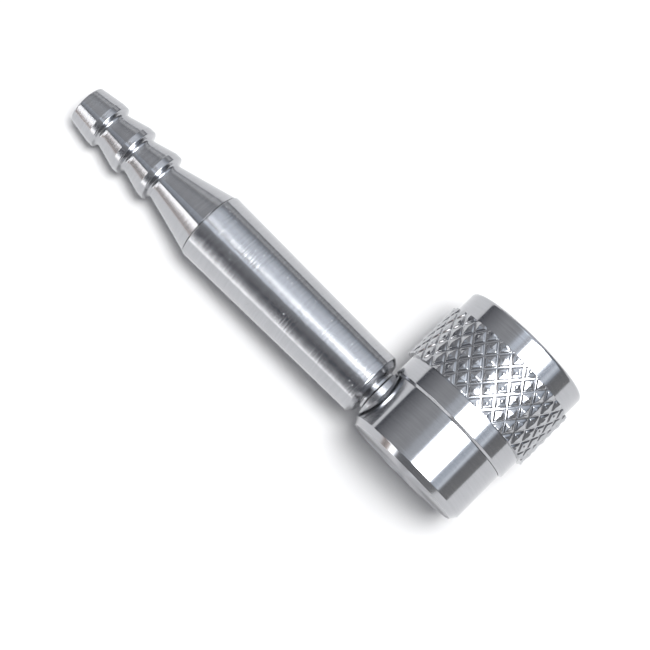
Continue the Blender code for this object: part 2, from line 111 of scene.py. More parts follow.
def add_panel(name, top, bottom, wide_deg, distance, radiance, across_stops=PLAIN, up_stops=PLAIN):
    """Hangs a light panel between two (right, down) directions, graded across and from its bottom up."""
    high = way_to(*top)
    low = way_to(*bottom)
    towards = (high + low).normalized()
    up_way = (high - low).normalized()
    side_way = up_way.cross(towards)
    light = bpy.data.lights.new(name, "AREA")
    light.shape = "RECTANGLE"
    light.size = 2 * distance * math.tan(math.radians(wide_deg / 2))
    light.size_y = 2 * distance * math.tan(high.angle(low) / 2)
    light.energy = radiance * light.size * light.size_y * math.pi
    light.use_nodes = True
    tree = light.node_tree
    spot = add_node(tree, "ShaderNodeNewGeometry")
    split = add_node(tree, "ShaderNodeSeparateXYZ", Vector=spot.outputs["Parametric"])
    across = add_node(tree, "ShaderNodeValToRGB", Fac=split.outputs["X"])
    set_ramp(across, across_stops)
    upward = add_node(tree, "ShaderNodeValToRGB", Fac=split.outputs["Y"])
    set_ramp(upward, up_stops)
    both = add_node(tree, "ShaderNodeVectorMath", {"operation": "MULTIPLY"}, Vector=across.outputs["Color"])
    tree.links.new(upward.outputs["Color"], both.inputs[1])
    tree.links.new(both.outputs[0], tree.nodes["Emission"].inputs["Color"])
    panel = bpy.data.objects.new(name, light)
    facing = Matrix((side_way, up_way, towards)).transposed()
    panel.matrix_world = Matrix.Translation(towards * distance) @ facing.to_4x4()
    bpy.context.scene.collection.objects.link(panel)
    return panel


softbox = add_panel("softbox", top=(19.5, -16), bottom=(19.5, 24), wide_deg=31, distance=0.6, radiance=12.0,
                    across_stops=[(0.0, "#66707c"), (0.1, "#ffffff"), (0.92, "#ffffff"), (1.0, "#848d98")],
                    up_stops=[(0.0, "#9097a0"), (0.08, "#ffffff"), (0.9, "#ffffff"), (1.0, "#6e7884")])
wall = add_panel("blue_wall", top=(19, -62), bottom=(19, 40), wide_deg=74, distance=0.9, radiance=0.6,
                 across_stops=[(0.0, "#000000"), (0.25, "#b4bac2"), (0.45, "#eef5ff"), (0.9, "#dfecfb"),
                               (1.0, "#8f9bab")],
                 up_stops=[(0.0, "#b4bcc6"), (0.08, "#ffffff"), (0.85, "#ffffff"), (1.0, "#8f98a4")])
edge = add_panel("wall_edge", top=(40, -8), bottom=(47, 42), wide_deg=3, distance=0.8, radiance=0.7)
glow = add_panel("wall_glow", top=(24, -49), bottom=(-2, -23), wide_deg=15, distance=0.85, radiance=1.1,
                 across_stops=[(0.0, "#000000"), (0.3, "#e6f2ff"), (0.7, "#e6f2ff"), (1.0, "#000000")],
                 up_stops=[(0.0, "#8b949e"), (0.15, "#ffffff"), (0.5, "#c8c8c8"), (1.0, "#5a5a5a")])
haze = add_panel("side_haze", top=(-9, -16), bottom=(-17, -8), wide_deg=32, distance=0.85, radiance=1.0,
                 across_stops=[(0.0, "#000000"), (0.25, "#dfeeff"), (0.75, "#dfeeff"), (1.0, "#000000")],
                 up_stops=[(0.0, "#5a5a5a"), (0.4, "#ffffff"), (1.0, "#8a8a8a")])
far_haze = add_panel("far_haze", top=(-36, -38), bottom=(-48, -26), wide_deg=16, distance=0.85, radiance=0.35,
                     across_stops=[(0.0, "#000000"), (0.3, "#d6e8ff"), (0.7, "#d6e8ff"), (1.0, "#000000")])
strip = add_panel("left_strip", top=(-55, -24), bottom=(-67, 50), wide_deg=18, distance=0.6, radiance=4.0,
                  across_stops=[(0.0, "#4d423b"), (0.33, "#7d7068"), (0.5, "#ffffff"), (0.85, "#ffffff"),
                                (1.0, "#9aa0a8")],
                  up_stops=[(0.0, "#e0e0e0"), (0.6, "#e0e0e0"), (0.85, "#ffffff"), (1.0, "#ffffff")])
corner = add_panel("warm_corner", top=(-84, -20), bottom=(-80, 30), wide_deg=14, distance=0.7, radiance=0.5,
                   across_stops=[(0.0, "#c8a690"), (1.0, "#c8a690")])
card = add_panel("far_card", top=(62, -66), bottom=(-12, -88), wide_deg=15, distance=0.9, radiance=0.45)
for panel in (softbox, wall, edge, glow, haze, far_haze, strip, corner, card):
    panel.visible_diffuse = False
key = add_panel("key_for_table", top=(14, -20), bottom=(14, 2), wide_deg=22, distance=3.0, radiance=19.5)
key.visible_glossy = False

BRIGHT_SIDE_TILT = 0.8
ROOM_SHADES = [(0.4, "#959596"), (0.62, "#7f8084"), (0.69, "#5f6168"), (0.74, "#5f6168"),
               (0.785, "#7f8084"), (0.875, "#999a9e"), (0.96, "#b5b6b9")]
world = bpy.data.worlds.new("grey_room")
world.use_nodes = True
tree = world.node_tree
room = add_node(tree, "ShaderNodeTexCoord")
bright_side = (-look_along - picture_down * BRIGHT_SIDE_TILT).normalized()
overhead = add_node(tree, "ShaderNodeVectorMath", {"operation": "DOT_PRODUCT", 1: bright_side},
                    Vector=room.outputs["Generated"])
grade = add_node(tree, "ShaderNodeMapRange", {"From Min": -1.0, "From Max": 1.0},
                 Value=overhead.outputs["Value"])
room_shade = add_node(tree, "ShaderNodeValToRGB", Fac=grade.outputs[0])
set_ramp(room_shade, ROOM_SHADES)
tree.links.new(room_shade.outputs["Color"], tree.nodes["Background"].inputs["Color"])
bpy.context.scene.world = world


# Table: a plain white sheet. The diffuser lies on its knurl, its base rim and its end barb, so the sheet
# is tilted a few degrees to touch all three, a hair's breadth below them.
FLOOR_SIDE_M = 3.0
FLOOR_GAP = 0.02
# Where the three touch it, in millimetres.
knurl_foot = Vector((0, 9.6, -8.51)) * MM
base_foot = Vector((0, 0.75, -7.6)) * MM
barb_foot = Vector((-50.0, 4.3, -2.9)) * MM
floor_normal = (barb_foot - base_foot).cross(knurl_foot - base_foot).normalized()
if floor_normal.z < 0:
    floor_normal.negate()
floor_mesh = bpy.data.meshes.new("table")
half = FLOOR_SIDE_M / 2
floor_mesh.from_pydata([(-half, -half, 0), (half, -half, 0), (half, half, 0), (-half, half, 0)], [],
                       [(0, 1, 2, 3)])
table = bpy.data.objects.new("table", floor_mesh)
table.rotation_mode = "QUATERNION"
table.rotation_quaternion = floor_normal.to_track_quat("Z", "Y")
table.location = knurl_foot - floor_normal * FLOOR_GAP * MM
sheet = bpy.data.materials.new("matt_white_sheet")
sheet.use_nodes = True
sheet_shader = sheet.node_tree.nodes["Principled BSDF"]
sheet_shader.inputs["Base Color"].default_value = linear("#f7f7f7")
sheet_shader.inputs["Roughness"].default_value = 0.9
sheet_shader.inputs["Specular IOR Level"].default_value = 0.1
table.data.materials.append(sheet)
bpy.context.scene.collection.objects.link(table)


# Head cup: a short round cup turned from stainless bar, faced flat at its base, with a screwed spigot
# above its rim that goes up into the cap. The stem screws into the small boss on its side. Sizes here and
# below are in millimetres, and finish_mesh turns them to metres.
BODY_RADIUS = 7.6
BODY_HEIGHT = 6.9
BASE_FLAT_RADIUS = 7.1
BASE_CHAMFER = 0.75
STEM_HEIGHT = 4.3
PLENUM_RADIUS = 4.0
PLENUM_FLOOR = 2.0
POCKET_RADIUS = 5.4
LEDGE_HEIGHT = 13.6
SPIGOT_TOP = 16.1
CAP_THREAD = {"root": 6.15, "depth": 0.5, "start": 7.95, "turns": 3.5, "pitch": 1.25}
NECK_THREAD = {"root": 1.5, "depth": 0.4, "start": 4.38, "turns": 3.5, "pitch": 0.7}
THREAD_GAP = 0.2
THREAD_FLAT = 0.15
THREAD_FLANK = 0.6
THREAD_FADE_TURNS = 0.5
SAME_RADIUS = 1e-4
HEAD_AXIS = (Vector((0, 0, 0)), Vector((0, 1, 0)), Vector((0, 0, 1)))
STEM_AXIS = (Vector((0, STEM_HEIGHT, 0)), Vector((-1, 0, 0)), Vector((0, 0, 1)))
AROUND = 192
ON_AXIS = 1e-6
SHARP_DEG = 35
EDGE_SUPPORT = 0.02
SUPPORTED_SPAN = 0.12
ARC_SHARE = 0.49


def rounded(corners, arc_steps=5):
    """Outline from (radius, along, rounding) corners, with arcs and close support points at each arc."""
    outline = []
    for index, (radius, along, rounding) in enumerate(corners):
        here = Vector((radius, along))
        if rounding == 0 or index in (0, len(corners) - 1):
            outline.append(here)
            continue
        back = Vector(corners[index - 1][:2]) - here
        on = Vector(corners[index + 1][:2]) - here
        half_angle = back.angle(on) / 2
        reach = min(rounding / math.tan(half_angle), ARC_SHARE * back.length, ARC_SHARE * on.length)
        size = reach * math.tan(half_angle)
        centre = here + (back.normalized() + on.normalized()).normalized() * size / math.sin(half_angle)
        first = here + back.normalized() * reach - centre
        sweep = first.angle_signed(here + on.normalized() * reach - centre)
        for step in range(arc_steps + 1):
            spin = Matrix.Rotation(-sweep * step / arc_steps, 2)
            outline.append(centre + spin @ first)
    supported = [outline[0]]
    for start, end in zip(outline, outline[1:]):
        span = end - start
        if span.length > SUPPORTED_SPAN:
            supported += [start + span.normalized() * EDGE_SUPPORT, end - span.normalized() * EDGE_SUPPORT]
        supported.append(end)
    return [(p.x, p.y) for p in supported]


def thread_rows(thread, rows_per_pitch=12):
    """Rings of outline points that carry a thread, from its low end to its high end."""
    count = round(thread["turns"] * rows_per_pitch)
    return [thread["start"] + i * thread["pitch"] / rows_per_pitch for i in range(count + 1)]


def thread_wave(thread, angle, along):
    """Height share of a right-hand thread at a point, and how far its end has faded in."""
    turns = (along - thread["start"]) / thread["pitch"]
    wave = 0.5 + 0.5 * math.cos(2 * math.pi * (turns - angle / (2 * math.pi)))
    from_end = min(turns, thread["turns"] - turns)
    fade = max(0.0, min(1.0, from_end / THREAD_FADE_TURNS))
    return min(1.0, max(0.0, (wave - THREAD_FLAT) / THREAD_FLANK)), fade


def lathe(name, outline, axis, closed=False, reshape=None, around=AROUND):
    """Turns an outline, listed down the outer side, about an axis. Points on the axis close into poles."""
    centre, along_way, zero_way = axis
    side_way = along_way.cross(zero_way)
    work = bmesh.new()
    rings = []
    for radius, along in outline:
        if radius < ON_AXIS:
            rings.append([work.verts.new(centre + along_way * along)] * around)
            continue
        ring = []
        for step in range(around):
            angle = 2 * math.pi * step / around
            reach = reshape(radius, angle, along) if reshape else radius
            out = zero_way * math.cos(angle) + side_way * math.sin(angle)
            ring.append(work.verts.new(centre + along_way * along + out * reach))
        rings.append(ring)
    pairs = list(zip(rings, rings[1:]))
    if closed:
        pairs.append((rings[-1], rings[0]))
    for upper, lower in pairs:
        for step in range(around):
            after = (step + 1) % around
            corners = [upper[step], lower[step], lower[after], upper[after]]
            distinct = list(dict.fromkeys(corners))
            if len(distinct) > 2:
                work.faces.new(distinct)
    return finish_mesh(name, work)


def finish_mesh(name, work, sharp_deg=SHARP_DEG):
    """Makes a smooth-shaded object, in metres, of a mesh made in millimetres."""
    bmesh.ops.scale(work, vec=(MM, MM, MM), verts=work.verts)
    mesh = bpy.data.meshes.new(name)
    work.to_mesh(mesh)
    work.free()
    mesh.shade_smooth()
    mesh.set_sharp_from_angle(angle=math.radians(sharp_deg))
    piece = bpy.data.objects.new(name, mesh)
    bpy.context.scene.collection.objects.link(piece)
    return piece


MICRON = 1e-6
MARK_RUN = 0.04
MARK_NOISE = {"Detail": 3.0, "Roughness": 0.6}
POLISH_SPREAD = 0.15
SPECK_SPACING_MM = 0.8
SPECK_RIM = 0.09
SPECK_FLOOR = 0.03


def turned_steel(name, axis_letter, mark_mm, mark_um, roughness, stretch, faced=False, nick_um=0):
    """Stainless steel off a lathe: bright, with fine rings of tool marks that stretch highlights."""
    material = bpy.data.materials.new(name)
    material.use_nodes = True
    tree = material.node_tree
    shader = tree.nodes["Principled BSDF"]
    shader.inputs["Metallic"].default_value = 1.0
    # A quarter turn stretches highlights across the marks, which run round the axis.
    shader.inputs["Anisotropic"].default_value = stretch
    shader.inputs["Anisotropic Rotation"].default_value = 0.25
    place = add_node(tree, "ShaderNodeTexCoord")
    # Real marks are a few hundredths of a millimetre apart, too fine to show, so mark_mm is coarser.
    if faced:
        centre = add_node(tree, "ShaderNodeSeparateXYZ", Vector=place.outputs["Object"])
        flat = add_node(tree, "ShaderNodeCombineXYZ", X=centre.outputs["X"], Y=centre.outputs["Z"])
        radius = add_node(tree, "ShaderNodeVectorMath", {"operation": "LENGTH"}, Vector=flat.outputs[0])
        rings = add_node(tree, "ShaderNodeTexNoise",
                         {"noise_dimensions": "1D", "Scale": 1 / (mark_mm * MM), **MARK_NOISE},
                         W=radius.outputs["Value"])
    else:
        # Along the axis a mark is mark_mm wide, and round it a mark runs 25 times as far.
        marks_per_metre = [MARK_RUN / (mark_mm * MM)] * 3
        marks_per_metre["XYZ".index(axis_letter)] = 1 / (mark_mm * MM)
        drawn = add_node(tree, "ShaderNodeMapping", {"Scale": marks_per_metre},
                         Vector=place.outputs["Object"])
        rings = add_node(tree, "ShaderNodeTexNoise", {"Scale": 1.0, **MARK_NOISE}, Vector=drawn.outputs[0])
    shade = add_node(tree, "ShaderNodeValToRGB", Fac=rings.outputs["Fac"])
    set_ramp(shade, [(0.3, "#b0b1b4"), (0.7, "#b9babd")])
    tree.links.new(shade.outputs["Color"], shader.inputs["Base Color"])
    polish = add_node(tree, "ShaderNodeMapRange", {"To Min": roughness * (1 - POLISH_SPREAD),
                                                   "To Max": roughness * (1 + POLISH_SPREAD)},
                      Value=rings.outputs["Fac"])
    tree.links.new(polish.outputs[0], shader.inputs["Roughness"])
    ridges = add_node(tree, "ShaderNodeBump", {"Strength": 1.0, "Distance": mark_um * MICRON},
                      Height=rings.outputs["Fac"])
    surface = ridges
    if nick_um:
        # Handling leaves small dents, about 0.1 mm across. Their rim and floor are shares of the spacing.
        specks = add_node(tree, "ShaderNodeTexVoronoi", {"Scale": 1 / (SPECK_SPACING_MM * MM)},
                          Vector=place.outputs["Object"])
        pits = add_node(tree, "ShaderNodeMapRange", {"From Min": SPECK_RIM, "From Max": SPECK_FLOOR},
                        Value=specks.outputs["Distance"])
        surface = add_node(tree, "ShaderNodeBump",
                           {"Strength": 1.0, "Distance": nick_um * MICRON, "invert": True},
                           Height=pits.outputs[0], Normal=ridges.outputs[0])
    tree.links.new(surface.outputs[0], shader.inputs["Normal"])
    grain = add_node(tree, "ShaderNodeTangent", {"direction_type": "RADIAL", "axis": axis_letter})
    tree.links.new(grain.outputs[0], shader.inputs["Tangent"])
    return material


def male(thread):
    """Raises a thread on the rings of points that lie at its root."""
    def reach(radius, angle, along):
        if abs(radius - thread["root"]) > SAME_RADIUS:
            return radius
        height, fade = thread_wave(thread, angle, along)
        return radius + thread["depth"] * height * fade
    return reach


head_side_steel = turned_steel("turned_stainless_head", "Y", mark_mm=0.15, mark_um=0.3, roughness=0.14,
                               stretch=0.6)
faced_steel = turned_steel("faced_stainless", "Y", mark_mm=0.12, mark_um=3.0, roughness=0.5, stretch=0.97,
                           faced=True)
rows = [(CAP_THREAD["root"], along) for along in reversed(thread_rows(CAP_THREAD))]
above = rounded([(0, PLENUM_FLOOR, 0), (PLENUM_RADIUS, PLENUM_FLOOR, 0.3), (PLENUM_RADIUS, LEDGE_HEIGHT, 0.1),
                 (POCKET_RADIUS, LEDGE_HEIGHT, 0.1), (POCKET_RADIUS, SPIGOT_TOP, 0.1),
                 (CAP_THREAD["root"], SPIGOT_TOP, 0.2), rows[0] + (0,)])
below = rounded([rows[-1] + (0,), (CAP_THREAD["root"], BODY_HEIGHT, 0.15), (BODY_RADIUS, BODY_HEIGHT, 0.07),
                 (BODY_RADIUS, BASE_CHAMFER, 0.1), (BASE_FLAT_RADIUS, 0, 0.08), (0, 0, 0)])
cup = lathe("head_cup_turned", above + rows[1:-1] + below, HEAD_AXIS, reshape=male(CAP_THREAD))
cup.data.materials.append(head_side_steel)
cup.data.materials.append(faced_steel)
FACED_DEPTH = 0.01
FACED_NORMAL = 0.99
for face in cup.data.polygons:
    if face.center.y < FACED_DEPTH * MM and face.normal.y < -FACED_NORMAL:
        face.material_index = 1

# The port for the stem's neck is drilled through the cup's side.
PORT_RADIUS = 2.1
PORT_OUTER_END = 9
PORT_INNER_END = 2
PORT_AROUND = 90
port_outline = [(0, PORT_OUTER_END), (PORT_RADIUS, PORT_OUTER_END), (PORT_RADIUS, PORT_INNER_END),
                (0, PORT_INNER_END)]
port = lathe("port_bore", port_outline, STEM_AXIS, around=PORT_AROUND)
drill = cup.modifiers.new("Port", "BOOLEAN")
drill.object = port
drill.operation = "DIFFERENCE"
bpy.context.view_layer.update()
drilled = bpy.data.meshes.new_from_object(cup.evaluated_get(bpy.context.evaluated_depsgraph_get()))
cup.modifiers.clear()
cup.data = drilled
cup.data.set_sharp_from_angle(angle=math.radians(SHARP_DEG))
bpy.data.objects.remove(port)
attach(cup, "head")
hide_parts("head_cup")


# Boss: a low round seat left standing on the cup's side, cut off level with the cup's rim. The stem's
# O-ring is squeezed against its end face.
BOSS_RADIUS = 3.1
BOSS_END = 7.74
BOSS_ROOT = 6.6
BOSS_RIM_STEP = 0.02
BOSS_CUT_SNAP_M = 1e-8
boss_rim = (BODY_HEIGHT - BOSS_RIM_STEP) * MM
boss_outline = rounded([(PORT_RADIUS, BOSS_ROOT, 0), (PORT_RADIUS, BOSS_END, 0.04),
                        (BOSS_RADIUS, BOSS_END, 0.06), (BOSS_RADIUS, BOSS_ROOT, 0)])
boss = lathe("neck_boss", boss_outline, STEM_AXIS, closed=True)
boss_work = bmesh.new()
boss_work.from_mesh(boss.data)
bmesh.ops.bisect_plane(boss_work, geom=boss_work.verts[:] + boss_work.edges[:] + boss_work.faces[:],
                       plane_co=(0, boss_rim, 0), plane_no=(0, 1, 0), clear_outer=True, dist=BOSS_CUT_SNAP_M)
bmesh.ops.edgeloop_fill(boss_work, edges=[edge for edge in boss_work.edges if edge.is_boundary])
bmesh.ops.recalc_face_normals(boss_work, faces=boss_work.faces)
boss_work.to_mesh(boss.data)
boss_work.free()
boss.data.set_sharp_from_angle(angle=math.radians(SHARP_DEG))
boss_steel = turned_steel("turned_stainless_boss", "X", mark_mm=0.2, mark_um=9.0, roughness=0.25,
                          stretch=0.95)
boss.data.materials.append(boss_steel)
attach(boss, "head")


# Ceramic disc: a pressed and fired porous disc, off-white and matt, with a fine open grain that breaks
# the gas into small bubbles. Two rubber gaskets clamp it, one on the cup's ledge and one under the cap.
DISC_RADIUS = 5.3
DISC_BOTTOM = 14.6
DISC_TOP = 16.6
# Real pores are a few hundredths of a millimetre wide, so they are drawn coarser to show.
PORE_MM = 0.12
PORE_DEPTH_MM = 0.03
PORE_WEIGHT = 0.6
PATCH_MM = 5 / 3
ceramic = bpy.data.materials.new("porous_ceramic_fired")
ceramic.use_nodes = True
tree = ceramic.node_tree
shader = tree.nodes["Principled BSDF"]
shader.inputs["Roughness"].default_value = 0.85
place = add_node(tree, "ShaderNodeTexCoord")
pores = add_node(tree, "ShaderNodeTexVoronoi", {"Scale": 1 / (PORE_MM * MM)}, Vector=place.outputs["Object"])
patches = add_node(tree, "ShaderNodeTexNoise", {"Scale": 1 / (PATCH_MM * MM), "Detail": 4.0},
                   Vector=place.outputs["Object"])
mixed = add_node(tree, "ShaderNodeMath", {"operation": "MULTIPLY_ADD", 1: PORE_WEIGHT},
                 Value=pores.outputs["Distance"])
tree.links.new(patches.outputs["Fac"], mixed.inputs[2])
tint = add_node(tree, "ShaderNodeValToRGB", Fac=mixed.outputs[0])
set_ramp(tint, [(0.3, "#d3cdc1"), (0.9, "#f4f1ea")])
tree.links.new(tint.outputs["Color"], shader.inputs["Base Color"])
grit = add_node(tree, "ShaderNodeBump", {"Strength": 0.6, "Distance": PORE_DEPTH_MM * MM},
                Height=pores.outputs["Distance"])
tree.links.new(grit.outputs[0], shader.inputs["Normal"])
disc_outline = rounded([(0, DISC_TOP, 0), (DISC_RADIUS, DISC_TOP, 0.2), (DISC_RADIUS, DISC_BOTTOM, 0.2),
                        (0, DISC_BOTTOM, 0)])
disc = lathe("ceramic_disc_fired", disc_outline, HEAD_AXIS)
disc.data.materials.append(ceramic)
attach(disc, "head")
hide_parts("ceramic_disc")


RUBBER_GRAIN_MM = 0.08
RUBBER_GRAIN_DEPTH_MM = 0.01


def moulded_rubber(name):
    """Black nitrile rubber: dull, with the grain of its mould, drawn coarser than real so that it shows."""
    material = bpy.data.materials.new(name)
    material.use_nodes = True
    tree = material.node_tree
    shader = tree.nodes["Principled BSDF"]
    place = add_node(tree, "ShaderNodeTexCoord")
    grain = add_node(tree, "ShaderNodeTexNoise", {"Scale": 1 / (RUBBER_GRAIN_MM * MM), "Detail": 5.0},
                     Vector=place.outputs["Object"])
    shade = add_node(tree, "ShaderNodeValToRGB", Fac=grain.outputs["Fac"])
    set_ramp(shade, [(0.3, "#141416"), (0.7, "#242427")])
    tree.links.new(shade.outputs["Color"], shader.inputs["Base Color"])
    dull = add_node(tree, "ShaderNodeMapRange", {"To Min": 0.45, "To Max": 0.65}, Value=grain.outputs["Fac"])
    tree.links.new(dull.outputs[0], shader.inputs["Roughness"])
    pits = add_node(tree, "ShaderNodeBump", {"Strength": 0.4, "Distance": RUBBER_GRAIN_DEPTH_MM * MM},
                    Height=grain.outputs["Fac"])
    tree.links.new(pits.outputs[0], shader.inputs["Normal"])
    return material


def seal(name, node, body, axis, inner, outer, low, high, rounding, material, slot_name):
    """A ring of rubber or plastic with rounded edges that stands for a plain ring of the frame."""
    middle = (inner + outer) / 2
    outline = rounded([(middle, high, 0), (outer, high, rounding), (outer, low, rounding),
                       (inner, low, rounding), (inner, high, rounding), (middle, high, 0)])
    ring = lathe(name, outline[:-1], axis, closed=True)
    ring.data.materials.append(material)
    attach(ring, body)
    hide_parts(node)


GASKET_BORE = 4.2
GASKET_ROUND = 0.2
LOWER_GASKET = (13.7, 14.5)
UPPER_GASKET = (16.7, 17.5)
rubber = moulded_rubber("black_nitrile_rubber")
seal("lower_gasket_moulded", "lower_gasket", "head", HEAD_AXIS, GASKET_BORE, DISC_RADIUS, *LOWER_GASKET,
     GASKET_ROUND, rubber, "black_rubber")
seal("upper_gasket_moulded", "upper_gasket", "head", HEAD_AXIS, GASKET_BORE, DISC_RADIUS, *UPPER_GASKET,
     GASKET_ROUND, rubber, "black_rubber")


# Slip ring: a thin white ring of low-friction plastic under the cap's lip. It rises with the cap and
# lets the lip turn without dragging the gasket.
SLIP_RING_BORE = 4.1
SLIP_RING_RADIUS = 5.4
SLIP_RING_BOTTOM = 17.6
SLIP_RING_TOP = 18.0
SLIP_RING_ROUND = 0.08
SKIVED_GRAIN_MM = 1 / 3


def milky_plastic(name):
    """PTFE: white, a little waxy, with a faint skived grain."""
    material = bpy.data.materials.new(name)
    material.use_nodes = True
    tree = material.node_tree
    shader = tree.nodes["Principled BSDF"]
    shader.inputs["IOR"].default_value = 1.37
    place = add_node(tree, "ShaderNodeTexCoord")
    grain = add_node(tree, "ShaderNodeTexNoise", {"Scale": 1 / (SKIVED_GRAIN_MM * MM), "Detail": 4.0},
                     Vector=place.outputs["Object"])
    shade = add_node(tree, "ShaderNodeValToRGB", Fac=grain.outputs["Fac"])
    set_ramp(shade, [(0.3, "#dcdbd6"), (0.7, "#efeeea")])
    tree.links.new(shade.outputs["Color"], shader.inputs["Base Color"])
    wax = add_node(tree, "ShaderNodeMapRange", {"To Min": 0.35, "To Max": 0.5}, Value=grain.outputs["Fac"])
    tree.links.new(wax.outputs[0], shader.inputs["Roughness"])
    return material


ptfe = milky_plastic("white_ptfe")
seal("slip_ring_skived", "slip_ring", "cap_ring", HEAD_AXIS, SLIP_RING_BORE, SLIP_RING_RADIUS,
     SLIP_RING_BOTTOM, SLIP_RING_TOP, SLIP_RING_ROUND, ptfe, "white_slip_plastic")


# Knurled cap: a screw cap turned from the same steel. Two plain collars stand at the ends of a band of
# pressed diamond knurling, and a lip round the window holds the disc down.
CAP_BOTTOM = 6.92
CAP_CHAMFER_IN = 0.3
CAP_CHAMFER_UP = 0.25
KNURL_BOTTOM = 9.6
KNURL_TOP = 16.45
CAP_TOP = 19.2
LOWER_COLLAR_RADIUS = 7.92
UPPER_COLLAR_RADIUS = 8.05
LIP_UNDERSIDE = 18.1
WINDOW_RADIUS = 4.9
CAP_SHARP_DEG = 24
KNURL_WELD = 1e-4
KNURL_CUT_SNAP = 1e-5
RIM_SNAP_M = 1e-7
# The knurl's radii rise from groove to peak, and its shares are of one diamond's side.
GROOVE_RADIUS = 8.24
SHOULDER_RADIUS = 8.39
CREST_FOOT_RADIUS = 8.425
PEAK_RADIUS = 8.505
KNURL_STARTS = 28
DIAMOND_HEIGHT = 2.21
GROOVE_SHARE = 0.07
SHOULDER_SHARE = 0.15
CREST_FOOT_SHARE = 0.31
PEAK_FLAT = 0.05
PEAK_LEAN = 0.07
RIDGE_ROUND = 0.05


def female(thread):
    """Draws the bore's rings of points in to a thread that fits the male one with a gap."""
    bore = thread["root"] + thread["depth"] + THREAD_GAP

    def reach(radius, angle, along):
        last = thread["start"] + thread["turns"] * thread["pitch"]
        if abs(radius - bore) > SAME_RADIUS or not thread["start"] <= along <= last:
            return radius
        height, fade = thread_wave(thread, angle, along)
        return bore - thread["depth"] * fade * (1 - height)
    return reach


def scatter(up, across, salt):
    """A repeatable uneven number between -1 and 1 for each diamond, from the tail of a large sine."""
    return math.sin(12.9 * up + 78.2 * across + 37.7 * salt) * 43758.5 % 2 - 1


def diamond_sheet(work):
    """Adds the diamonds: steep feet in flat grooves, low shoulders and raised crests that lean unevenly."""
    levels = [(GROOVE_SHARE, GROOVE_RADIUS, 0), (SHOULDER_SHARE, SHOULDER_RADIUS, 0),
              (CREST_FOOT_SHARE, CREST_FOOT_RADIUS, PEAK_LEAN), (0.5 - PEAK_FLAT, PEAK_RADIUS, PEAK_LEAN)]
    low, high = GROOVE_SHARE, 1 - GROOVE_SHARE

    def spot(a, b, radius):
        """A point counted in diamonds along the two hands of grooves."""
        angle = (a + b) / 2 * 2 * math.pi / KNURL_STARTS
        along = KNURL_BOTTOM + (a - b) / 2 * DIAMOND_HEIGHT
        return work.verts.new((radius * math.sin(angle), along, radius * math.cos(angle)))

    for up in range(-1, math.ceil(2 * (KNURL_TOP - KNURL_BOTTOM) / DIAMOND_HEIGHT) + 1):
        for round_index in range(KNURL_STARTS):
            a0, b0 = round_index + up, round_index
            lean_a = scatter(up, round_index, 1)
            lean_b = scatter(up, round_index, 2)
            squares = [[spot(a0 + a + lean * lean_a, b0 + b + lean * lean_b, radius) for a, b in
                        ((share, share), (1 - share, share), (1 - share, 1 - share), (share, 1 - share))]
                       for share, radius, lean in levels]
            work.faces.new(squares[-1])
            for outer, inner in zip(squares, squares[1:]):
                for i in range(4):
                    after = (i + 1) % 4
                    work.faces.new([outer[i], outer[after], inner[after], inner[i]])
            strips = [((high, low), (1 + low, low), (1 + low, high), (high, high)),
                      ((low, high), (high, high), (high, 1 + low), (low, 1 + low)),
                      ((high, high), (1 + low, high), (1 + low, 1 + low), (high, 1 + low))]
            for strip in strips:
                work.faces.new([spot(a0 + a, b0 + b, GROOVE_RADIUS) for a, b in strip])


cap_work = bmesh.new()
diamond_sheet(cap_work)
bmesh.ops.remove_doubles(cap_work, verts=cap_work.verts, dist=KNURL_WELD)
ridges = [edge for edge in cap_work.edges if len(edge.link_faces) == 2]
bmesh.ops.bevel(cap_work, geom=ridges, offset=RIDGE_ROUND, segments=2, profile=0.5, affect="EDGES",
                clamp_overlap=True)
for height, keep_way in ((KNURL_BOTTOM, 1), (KNURL_TOP, -1)):
    everything = cap_work.verts[:] + cap_work.edges[:] + cap_work.faces[:]
    bmesh.ops.bisect_plane(cap_work, geom=everything, plane_co=(0, height, 0), plane_no=(0, -keep_way, 0),
                           clear_outer=True, dist=KNURL_CUT_SNAP)
bmesh.ops.recalc_face_normals(cap_work, faces=cap_work.faces)
bore = CAP_THREAD["root"] + CAP_THREAD["depth"] + THREAD_GAP
inner_rows = [(bore, along) for along in thread_rows(CAP_THREAD)]
collars = rounded([(LOWER_COLLAR_RADIUS, KNURL_BOTTOM, 0),
                   (LOWER_COLLAR_RADIUS, CAP_BOTTOM + CAP_CHAMFER_UP, 0.05),
                   (LOWER_COLLAR_RADIUS - CAP_CHAMFER_IN, CAP_BOTTOM, 0.03),
                   (bore, CAP_BOTTOM, 0.15), inner_rows[0] + (0,)])
collars += inner_rows[1:-1]
collars += rounded([inner_rows[-1] + (0,), (bore, LIP_UNDERSIDE, 0.1), (WINDOW_RADIUS, LIP_UNDERSIDE, 0.1),
                    (WINDOW_RADIUS, CAP_TOP, 0.25), (UPPER_COLLAR_RADIUS, CAP_TOP, 0.4),
                    (UPPER_COLLAR_RADIUS, KNURL_TOP, 0)])
shell = lathe("cap_shell", collars, HEAD_AXIS, reshape=female(CAP_THREAD))
bmesh.ops.scale(cap_work, vec=(MM, MM, MM), verts=cap_work.verts)
cap_work.from_mesh(shell.data)
bpy.data.objects.remove(shell)
for height in (KNURL_BOTTOM, KNURL_TOP):
    rim = [edge for edge in cap_work.edges if edge.is_boundary
           and all(abs(v.co.y - height * MM) < RIM_SNAP_M for v in edge.verts)]
    bmesh.ops.triangle_fill(cap_work, edges=rim, use_beauty=True, normal=(0, 1, 0))
bmesh.ops.recalc_face_normals(cap_work, faces=cap_work.faces)
bmesh.ops.scale(cap_work, vec=(1 / MM, 1 / MM, 1 / MM), verts=cap_work.verts)
cap = finish_mesh("knurled_cap_turned", cap_work, sharp_deg=CAP_SHARP_DEG)
